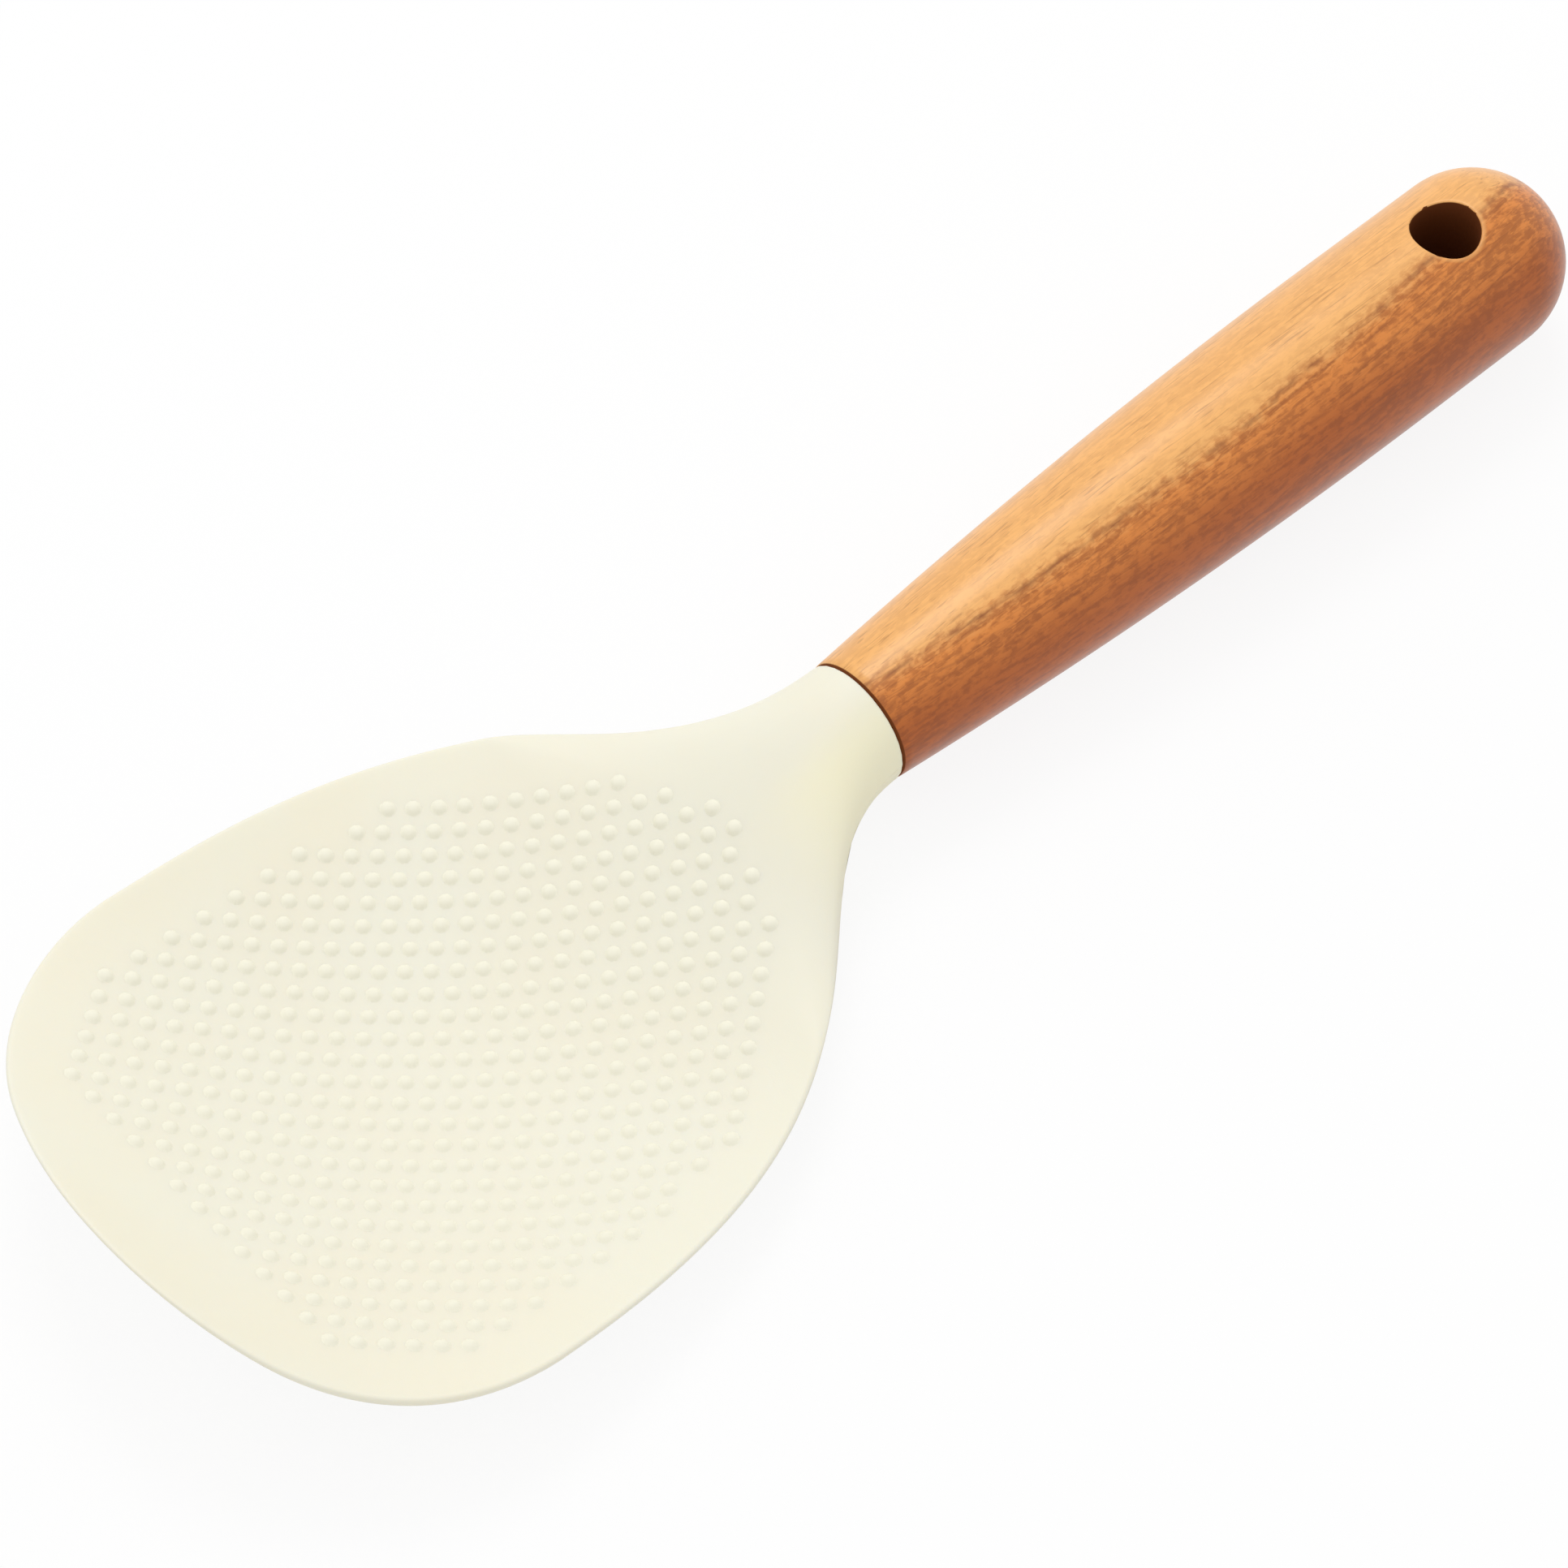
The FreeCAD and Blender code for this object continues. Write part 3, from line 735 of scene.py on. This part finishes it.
def stud_places(shape, studs):
    """Points on the top face in staggered rows, with the face's direction at each."""
    slant = studs.pitch / 2 / studs.row_pitch
    span = SEAM_X - TIP_X - studs.to_seam - studs.to_tip
    rows = math.floor(span / studs.row_pitch + CLOSE) + 1
    places = []
    for row in range(rows):
        x = SEAM_X - studs.to_seam - row * studs.row_pitch
        to_neck, to_tip = row * studs.row_pitch, span - row * studs.row_pitch
        half = min(
            float(shape.half_width(x - studs.shift)) - studs.margin,
            studs.neck_half + END_STEEPNESS * slant * to_neck,
            studs.neck_shoulder + slant * to_neck,
            studs.tip_half + END_STEEPNESS * slant * to_tip,
            studs.tip_shoulder + slant * to_tip,
        )
        shift = 0.0 if row % 2 else studs.pitch / 2
        count = math.floor((half - shift) / studs.pitch + CLOSE) + 1
        side = [shift + studs.pitch * step for step in range(count)]
        places += [(x, y) for y in side] + [(x, -y) for y in side if y > 0]
    x, y = np.array(places).T

    def top(x, y):
        return shape.faces_at(x, y)[1]

    slope_x = (top(x + SLOPE_STEP, y) - top(x - SLOPE_STEP, y)) / (2 * SLOPE_STEP)
    slope_y = (top(x, y + SLOPE_STEP) - top(x, y - SLOPE_STEP)) / (2 * SLOPE_STEP)
    outward = np.stack([-slope_x, -slope_y, np.ones_like(x)], axis=-1)
    outward /= np.linalg.norm(outward, axis=1, keepdims=True)
    return np.stack([x, y, top(x, y)], axis=-1), outward


STUD_INPUTS = {
    "Points": "NodeSocketGeometry",
    "Radius": "NodeSocketFloat",
    "Height": "NodeSocketFloat",
    "Sides": "NodeSocketInt",
    "Rows": "NodeSocketInt",
    "Material": "NodeSocketMaterial",
}
# The stud's profile: how its rows crowd at the foot, how full its crown is and how soft its foot
FOOT_CROWDING = 1.4
FULLNESS = 3.0
FOOT_SOFTNESS = 2.0
# The flat underside, which stays unsmoothed: the Z of its normal lies below these
UNDERSIDE = (-0.9, -0.8)


def stud_tree():
    """A node tree that sets a closed dome on every point, upright on the face, with a soft foot."""
    tree = bpy.data.node_groups.new("stud_field", "GeometryNodeTree")
    for name, kind in STUD_INPUTS.items():
        tree.interface.new_socket(name, in_out="INPUT", socket_type=kind)
    tree.interface.new_socket("Studs", in_out="OUTPUT", socket_type="NodeSocketGeometry")
    nodes = Nodes(tree)
    points = nodes.node("NodeGroupInput", output="Points")
    radius, height = points.other("Radius"), points.other("Height")

    cone = nodes.node("GeometryNodeMeshCone", {"fill_type": "NGON"}, {
        "Vertices": points.other("Sides"),
        "Side Segments": points.other("Rows"),
        "Radius Top": 0.0,
        "Radius Bottom": radius,
        "Depth": height,
    })
    x, y, z = nodes.split(nodes.node("GeometryNodeInputPosition"))
    out = 1.0 - (z / height) ** FOOT_CROWDING
    lift = (1.0 - out ** FULLNESS) ** FOOT_SOFTNESS
    round_way = nodes.vector_maths("NORMALIZE", {0: nodes.vector(x, y, 0.0)})
    sideways = nodes.vector_maths("SCALE", {0: round_way, "Scale": out * radius})
    upwards = nodes.vector(0.0, 0.0, lift * height)
    domed = nodes.vector_maths("ADD", {0: sideways, 1: upwards})
    dome = nodes.node("GeometryNodeSetPosition", None, {"Geometry": cone, "Position": domed})

    facing = nodes.split(nodes.node("GeometryNodeInputNormal"))[2]
    smooth = nodes.node("GeometryNodeSetShadeSmooth", None,
                        {0: dome, "Selection": facing.between(*UNDERSIDE)})
    outward = nodes.node("GeometryNodeInputNamedAttribute", {"data_type": "FLOAT_VECTOR"},
                         {"Name": "outward"})
    upright = nodes.node("FunctionNodeAlignRotationToVector", {"axis": "Z"}, {"Vector": outward})
    placed = nodes.node("GeometryNodeInstanceOnPoints", None,
                        {"Points": points, "Instance": smooth, "Rotation": upright})
    real = nodes.node("GeometryNodeRealizeInstances", None, {"Geometry": placed})
    finished = nodes.node("GeometryNodeSetMaterial", None,
                          {"Geometry": real, "Material": points.other("Material")})
    nodes.node("NodeGroupOutput", None, {"Studs": finished})
    return tree


def plain_mesh(name, source, tree, inputs):
    """Runs a node tree on an object and keeps the result as a plain mesh in a new object."""
    modifier = source.modifiers.new(tree.name, "NODES")
    modifier.node_group = tree
    for item in tree.interface.items_tree:
        if item.in_out == "INPUT" and item.name in inputs:
            modifier[item.identifier] = inputs[item.name]
    evaluated = source.evaluated_get(bpy.context.evaluated_depsgraph_get())
    mesh = bpy.data.meshes.new_from_object(evaluated)
    mesh.name = name
    source.modifiers.remove(modifier)
    bpy.data.objects.remove(source)
    piece = bpy.data.objects.new(name, mesh)
    bpy.context.scene.collection.objects.link(piece)
    return piece


class PADDLE_OT_studs(bpy.types.Operator):
    """Adds the field of domed studs that keeps rice from sticking to the blade"""

    bl_idname = "paddle.studs"
    bl_label = "Studs"

    def execute(self, context):
        settings = context.scene.paddle
        places, outward = stud_places(BladeShape(settings.blade), settings.studs)
        mesh = bpy.data.meshes.new("stud_points")
        mesh.from_pydata([tuple(place) for place in places - outward * STUD_SINK], [], [])
        attribute = mesh.attributes.new("outward", "FLOAT_VECTOR", "POINT")
        attribute.data.foreach_set("vector", outward.ravel())
        source = bpy.data.objects.new("stud_points", mesh)
        context.scene.collection.objects.link(source)
        piece = plain_mesh("studs", source, stud_tree(), {
            "Radius": settings.studs.radius,
            "Height": settings.studs.height + STUD_SINK,
            "Sides": settings.studs.sides,
            "Rows": settings.studs.rows,
            "Material": bpy.data.materials["silicone"],
        })
        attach(piece, BODY)
        return {"FINISHED"}


# Handle

# How finely the handle is drawn. The hole's patch is a square of this half side on each face
TURN_STEPS = 96
SWELL_STEPS = 90
DOME_STEPS = 28
PATCH_STEPS = 24
PATCH_RINGS = 8
ROUNDING_STEPS = 5
WALL_STEPS = 10
PATCH_HALF = 6.4 * MM


class HandleShape:
    """The turned handle's radius along X, and the place of its hanging hole and round end."""

    def __init__(self, sizes):
        self.sizes = sizes
        self.hole_x = HANG_HOLE["pos_m"][0]
        self.dome_x = END_X - HANDLE_R

    def radius(self, x):
        sizes = self.sizes
        along = np.clip((x - SEAM_X) / sizes.swell, 0.0, 1.0)
        swelling = HANDLE_R - (HANDLE_R - sizes.front_radius) * (1 - along) ** 2
        past = np.clip(x - self.dome_x, 0.0, None)
        dome = np.sqrt(np.clip(HANDLE_R ** 2 - past ** 2, 0.0, None))
        return np.where(x > self.dome_x, dome, swelling)


def handle_angles():
    """Angles round the handle, from the top, with the edges of the hole's patches among them."""
    patch = math.asin(PATCH_HALF / HANDLE_R)
    side_steps = (TURN_STEPS - 2 * PATCH_STEPS) // 2
    top = np.linspace(-patch, patch, PATCH_STEPS + 1)[:-1]
    right = np.linspace(patch, math.pi - patch, side_steps + 1)[:-1]
    return np.concatenate([top, right, top + math.pi, right + math.pi])


def handle_surface(shape):
    """Rings of points along the handle, and the quads between them outside the hole's patches."""
    sizes = shape.sizes
    low_x, high_x = shape.hole_x - PATCH_HALF, shape.hole_x + PATCH_HALF
    before = np.linspace(SEAM_X + sizes.front_chamfer, low_x, SWELL_STEPS)[:-1]
    patch = np.linspace(low_x, high_x, PATCH_STEPS + 1)
    dome = shape.dome_x + HANDLE_R * np.sin(np.linspace(0.0, math.pi / 2, DOME_STEPS)[1:])
    places = np.concatenate([[SEAM_X], before, patch, [shape.dome_x], dome])
    radii = shape.radius(places)
    radii[0] = sizes.front_radius - sizes.front_chamfer
    radii[-1] = 0.0
    angles = handle_angles()
    x = np.repeat(places[:, None], len(angles), axis=1)
    y = radii[:, None] * np.sin(angles)[None, :]
    z = AXIS_Z + radii[:, None] * np.cos(angles)[None, :]
    points = np.stack([x, y, z], axis=-1).reshape(-1, 3)

    first_row = 1 + len(before)
    half_turn = len(angles) // 2
    faces = []
    for row in range(len(places) - 1):
        in_patch = first_row <= row < first_row + PATCH_STEPS
        for column in range(len(angles)):
            if in_patch and column % half_turn < PATCH_STEPS:
                continue
            following = (column + 1) % len(angles)
            faces.append((row * len(angles) + column, row * len(angles) + following,
                          (row + 1) * len(angles) + following, (row + 1) * len(angles) + column))
    return points, faces


def patch_border():
    """The border of the hole's square patch, as offsets from the hole's axis, going round once."""
    patch = math.asin(PATCH_HALF / HANDLE_R)
    along = np.linspace(-PATCH_HALF, PATCH_HALF, PATCH_STEPS + 1)
    across = HANDLE_R * np.sin(np.linspace(-1, 1, PATCH_STEPS + 1) * patch)
    low, high = -PATCH_HALF, PATCH_HALF
    border = [(high, y) for y in across[:-1]]
    border += [(x, high) for x in along[:0:-1]]
    border += [(low, y) for y in across[:0:-1]]
    border += [(x, low) for x in along[:-1]]
    return np.array(border)


def hole_surface(shape):
    """Rows of points from the patch's border over the hole's edge, down its wall and out below."""
    sizes = shape.sizes
    border = patch_border()
    turn = np.arctan2(border[:, 1], border[:, 0])
    edge = sizes.hole_radius + sizes.hole_rounding
    circle = np.stack([np.cos(turn), np.sin(turn)], axis=-1)
    upper = []
    for share in np.linspace(0.0, 1.0, PATCH_RINGS):
        ring = mix(border, circle * edge, share)
        upper.append((ring, np.sqrt(HANDLE_R ** 2 - ring[:, 1] ** 2)))
    foot = np.sqrt(HANDLE_R ** 2 - (circle[:, 1] * edge) ** 2)
    for angle in np.linspace(0.0, math.pi / 2, ROUNDING_STEPS)[1:]:
        ring = circle * (edge - sizes.hole_rounding * math.sin(angle))
        upper.append((ring, foot - sizes.hole_rounding * (1 - math.cos(angle))))
    wall_ring, wall_top = upper[-1]
    wall_shares = np.linspace(1.0, -1.0, WALL_STEPS)[1:-1]
    rows = upper + [(wall_ring, wall_top * share) for share in wall_shares]
    rows += [(ring, -height) for ring, height in reversed(upper)]
    points = np.concatenate([
        np.stack([shape.hole_x + ring[:, 0], ring[:, 1], AXIS_Z + height], axis=-1)
        for ring, height in rows
    ])
    count = len(border)
    faces = [
        (row * count + column, row * count + (column + 1) % count,
         (row + 1) * count + (column + 1) % count, (row + 1) * count + column)
        for row in range(len(rows) - 1) for column in range(count)
    ]
    return points, faces


class PADDLE_OT_handle(bpy.types.Operator):
    """Adds the turned wooden handle with its hanging hole"""

    bl_idname = "paddle.handle"
    bl_label = "Wooden Handle"

    def execute(self, context):
        settings = context.scene.paddle
        shape = HandleShape(settings.handle)
        points, faces = handle_surface(shape)
        hole_points, hole_faces = hole_surface(shape)
        faces += [tuple(len(points) + corner for corner in face) for face in hole_faces]
        points = np.concatenate([points, hole_points])
        wood = wood_finish(settings.finish, shape.hole_x, settings.handle.hole_radius)
        piece = make_piece("wooden_handle", points, faces, wood)
        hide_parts("handle")
        return {"FINISHED"}


# Core and glue

class PADDLE_OT_core(bpy.types.Operator):
    """Gives the hidden core and its glue their finishes"""

    bl_idname = "paddle.core"
    bl_label = "Core and Glue"

    def execute(self, context):
        finish = context.scene.paddle.finish
        core, glue = tuple(finish.core), tuple(finish.glue)
        hidden = {
            "blade_core": plain_finish("core_plastic", core, roughness=0.5, grain_scale=700.0),
            "socket_adhesive": plain_finish("glue", glue, roughness=0.3, grain_scale=250.0),
        }
        for node, material in hidden.items():
            piece = frame["nodes"][node]
            piece.data.materials.clear()
            piece.data.materials.append(material)
        return {"FINISHED"}


# Studio

CAMERA_PLACE = Vector((-265.6, -269.1, 554.4)) * MM
CAMERA_RIGHT = Vector((0.7393, -0.6733, 0.0077))
CAMERA_UP = Vector((0.5544, 0.6152, 0.5605))
CAMERA_LENS = 121.1
CAMERA_SENSOR = 36.0
FLOOR_HALF = 3.0
FLOOR_GLOW = 0.88
WORLD_LEVEL = 0.74
WHITE = (1.0, 1.0, 1.0)
# Square lamps: place, width and power
LAMPS = {
    "key": (Vector((0.39, 0.59, 1.09)), 0.5, 4.2),
    "overhead": (Vector((-0.15, 0.30, 1.5)), 1.6, 3.2),
}
LAMP_AIM = Vector((0.0, 0.0, 0.01))


def seen(nodes):
    """1 where the camera, a reflection or a refraction sees the surface, and 0 for other light."""
    camera = nodes.node("ShaderNodeLightPath", output="Is Camera Ray")
    mirrored = camera.greatest(camera.other("Is Glossy Ray"))
    return mirrored.greatest(camera.other("Is Transmission Ray"))


def floor_finish(shade):
    """A pale floor that looks white but still shows a soft shadow."""
    finish = Finish("floor")
    finish.finish(Base_Color=tuple(shade), Roughness=0.9)
    glow = finish.node("ShaderNodeEmission", None, {"Color": WHITE})
    surface = Value(finish, finish.surface.outputs[0])
    share = seen(finish) * FLOOR_GLOW
    blend = finish.node("ShaderNodeMixShader", None, {0: share, 1: surface, 2: glow})
    finish.set_sockets(finish.tree.nodes["Material Output"], {"Surface": blend})
    return finish.material


def add_lamp(name, place, width, power):
    """A square soft light that points at the paddle."""
    lamp = bpy.data.lights.new(name, "AREA")
    lamp.energy = power
    lamp.size = width
    piece = bpy.data.objects.new(name, lamp)
    piece.location = place
    piece.rotation_euler = (LAMP_AIM - place).to_track_quat("-Z", "Y").to_euler()
    bpy.context.scene.collection.objects.link(piece)


class PADDLE_OT_stage(bpy.types.Operator):
    """Adds the floor, the soft lights and the camera"""

    bl_idname = "paddle.stage"
    bl_label = "Studio"

    def execute(self, context):
        scene = context.scene
        scene.view_settings.view_transform = "Standard"
        signs = ((-1, -1), (1, -1), (1, 1), (-1, 1))
        corners = [(FLOOR_HALF * x, FLOOR_HALF * y, 0.0) for x, y in signs]
        mesh = bpy.data.meshes.new("floor")
        mesh.from_pydata(corners, [], [(0, 1, 2, 3)])
        mesh.materials.append(floor_finish(scene.paddle.finish.floor))
        floor = bpy.data.objects.new("floor", mesh)
        scene.collection.objects.link(floor)

        for name, (place, width, power) in LAMPS.items():
            add_lamp(name, place, width, power)

        world = bpy.data.worlds.new("studio")
        scene.world = world
        world.use_nodes = True
        nodes = Nodes(world.node_tree)
        nodes.set_sockets(world.node_tree.nodes["Background"], {
            "Color": WHITE,
            "Strength": WORLD_LEVEL + (1.0 - WORLD_LEVEL) * seen(nodes),
        })

        camera = bpy.data.cameras.new("camera")
        camera.lens = CAMERA_LENS
        camera.sensor_width = CAMERA_SENSOR
        eye = bpy.data.objects.new("camera", camera)
        back = CAMERA_RIGHT.cross(CAMERA_UP).normalized()
        up = back.cross(CAMERA_RIGHT).normalized()
        turn = Matrix((CAMERA_RIGHT.normalized(), up, back)).transposed()
        eye.matrix_world = Matrix.Translation(CAMERA_PLACE) @ turn.to_4x4()
        scene.collection.objects.link(eye)
        scene.camera = eye
        return {"FINISHED"}


# Add-on

STEPS = (PADDLE_OT_blade, PADDLE_OT_studs, PADDLE_OT_handle, PADDLE_OT_core, PADDLE_OT_stage)


class PADDLE_PT_panel(bpy.types.Panel):
    """Lists the paddle's pieces and settings"""

    bl_idname = "PADDLE_PT_panel"
    bl_label = "Rice Paddle"
    bl_space_type = "VIEW_3D"
    bl_region_type = "UI"
    bl_category = "Paddle"

    def draw(self, context):
        layout = self.layout
        for step in STEPS:
            layout.operator(step.bl_idname)
        settings = context.scene.paddle
        for group in (settings.blade, settings.studs, settings.handle, settings.finish):
            box = layout.box()
            for name in group.__annotations__:
                box.prop(group, name)


CLASSES = (
    BladeSizes, StudSizes, HandleSizes, Finishes, PaddleSettings, *STEPS, PADDLE_PT_panel,
)


def register():
    for item in CLASSES:
        bpy.utils.register_class(item)
    bpy.types.Scene.paddle = PointerProperty(type=PaddleSettings)


def unregister():
    del bpy.types.Scene.paddle
    for item in reversed(CLASSES):
        bpy.utils.unregister_class(item)


def main():
    register()
    bpy.ops.paddle.blade()
    bpy.ops.paddle.studs()
    bpy.ops.paddle.handle()
    bpy.ops.paddle.core()
    bpy.ops.paddle.stage()


if __name__ == "__main__":
    main()
